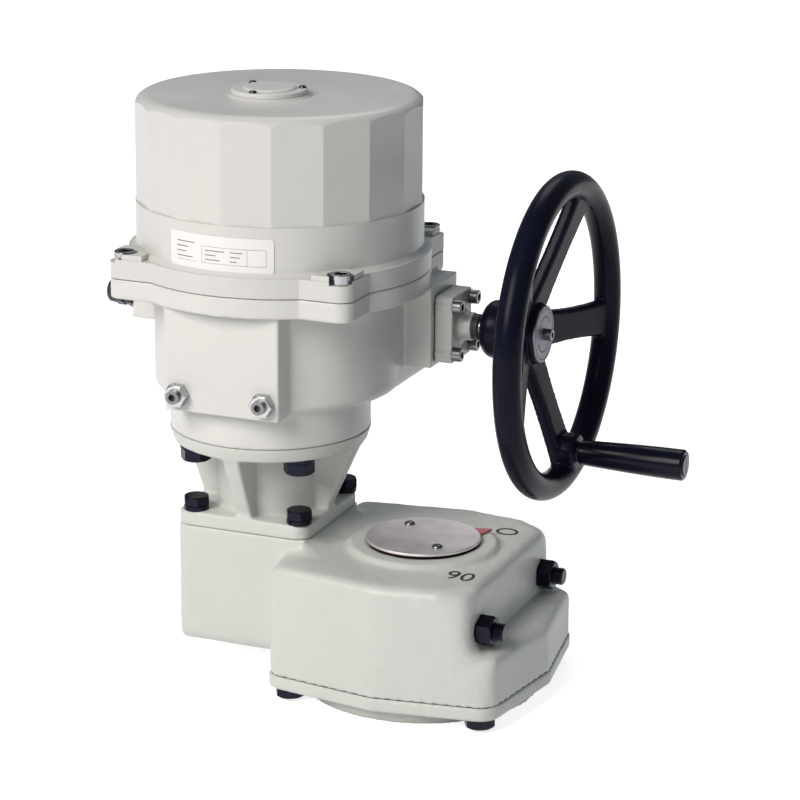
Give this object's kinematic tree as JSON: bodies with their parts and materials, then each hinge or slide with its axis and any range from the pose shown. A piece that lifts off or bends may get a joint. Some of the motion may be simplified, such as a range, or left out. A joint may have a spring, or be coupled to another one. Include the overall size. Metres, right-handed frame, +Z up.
{
  "type": "electric valve actuator",
  "caption": "Quarter-turn electric actuator with faceted cover and dished handwheel, bracketed onto a spur reduction gearbox with a valve flange.",
  "frame": {"origin": "centre of the valve mounting face, under the gearbox, on the gearbox output axis", "axes": "+Z up along the gearbox output axis, +X towards the handwheel, -Y the front with the travel stop screws"},
  "size_m": [0.5171, 0.337, 0.5193],
  "materials": {
    "body_paint": "light warm-grey enamel, fine orange peel",
    "cast_paint": "greenish light grey paint over a cast skin",
    "machined_steel": "machined",
    "bearing_bronze": "machined bronze",
    "black_bolt": "black oxide",
    "bright_zinc": "bright zinc plate",
    "seal_rubber": "smooth",
    "gland_plastic": "moulded nylon",
    "gloss_enamel": "gloss blue-black enamel",
    "grip_plastic": "gloss blue-black moulding",
    "disc_metal": "brushed anodised plate",
    "pointer_red": "red enamel",
    "label_film": "white film",
    "motor_paint": "dark grey enamel",
    "switch_plastic": "moulded",
    "terminal_plastic": "moulded",
    "cam_plastic": "moulded acetal"
  },
  "bodies": {
    "frame": {"bottom_plate": "cast_paint", "case_gasket": "seal_rubber", "gear_case": "cast_paint", "plate_bolts": "black_bolt", "sleeve_bushes": "bearing_bronze", "sleeve_seals": "seal_rubber", "case_stop_screws": "black_bolt", "case_stop_nuts": "black_bolt", "pinion_bearings": "machined_steel", "bracket": "cast_paint", "lower_bolts": "black_bolt", "spring_washers": "black_bolt", "upper_bolts": "black_bolt", "upper_washers": "black_bolt", "base_housing": "body_paint", "output_bearings": "bearing_bronze", "stop_screws": "bright_zinc", "stop_nuts": "bright_zinc", "cable_glands": "gland_plastic", "gland_nuts": "gland_plastic", "worm_bearings": "machined_steel", "shaft_cover": "body_paint", "shaft_cover_gasket": "seal_rubber", "shaft_cover_screws": "black_bolt", "shaft_seal": "seal_rubber", "idler_pin": "machined_steel", "motor": "motor_paint", "train_plate": "machined_steel", "gear_plate": "machined_steel", "limit_switches": "switch_plastic", "terminal_block": "terminal_plastic", "cover_gasket": "seal_rubber", "cover": "body_paint", "cover_screws": "bright_zinc", "window_ring": "body_paint", "window_cap": "body_paint", "window_screws": "machined_steel", "label_plate": "label_film"},
    "gearbox_output": {"drive_sleeve": "machined_steel", "toothed_sector": "machined_steel", "sector_key": "machined_steel", "pointer": "pointer_red", "indicator_disc": "disc_metal", "disc_screws": "machined_steel"},
    "actuator_output": {"pinion_shaft": "machined_steel", "output_shaft": "machined_steel", "worm_wheel": "bearing_bronze", "output_key": "machined_steel", "stop_quadrant": "machined_steel", "cam_stack": "cam_plastic"},
    "hand_drive": {"worm_shaft": "machined_steel", "shaft_gear": "machined_steel", "handwheel": "gloss_enamel", "hub_disc": "bright_zinc", "hub_screw": "machined_steel", "hub_key": "machined_steel", "handle_spindle": "black_bolt"},
    "handle": {"handle_grip": "grip_plastic"},
    "idler": {"idler_gear": "machined_steel"},
    "motor_rotor": {"motor_shaft": "machined_steel"}
  },
  "joints": [
    {"name": "handwheel_turn", "type": "hinge", "parent": "frame", "child": "hand_drive", "pos_m": [0.04, 0.074, 0.306], "axis": [1, 0, 0], "range_deg": [0, 6260.86]},
    {"name": "output_turn", "type": "hinge", "parent": "frame", "child": "actuator_output", "pos_m": [-0.146, 0, 0.27], "axis": [0, 0, 1], "range_deg": [0, 195.66]},
    {"name": "valve_turn", "type": "hinge", "parent": "frame", "child": "gearbox_output", "pos_m": [0, 0, 0.085], "axis": [0, 0, 1], "range_deg": [-90.01, 0]},
    {"name": "idler_spin", "type": "hinge", "parent": "frame", "child": "idler", "pos_m": [-0.093, 0.07389, 0.3645], "axis": [1, 0, 0], "range_deg": [-10019, 0]},
    {"name": "motor_spin", "type": "hinge", "parent": "frame", "child": "motor_rotor", "pos_m": [-0.093, 0.056, 0.394], "axis": [1, 0, 0], "range_deg": [0, 18784]},
    {"name": "handle_spin", "type": "hinge", "parent": "hand_drive", "child": "handle", "pos_m": [0.16, 0.09749, 0.19547], "axis": [1, 0, 0], "continuous": true}
  ],
  "couplings": [
    {"joint": "output_turn", "follows": "handwheel_turn", "ratio": 0.03125},
    {"joint": "valve_turn", "follows": "handwheel_turn", "ratio": -0.014375},
    {"joint": "idler_spin", "follows": "handwheel_turn", "ratio": -1.6},
    {"joint": "motor_spin", "follows": "handwheel_turn", "ratio": 3}
  ]
}
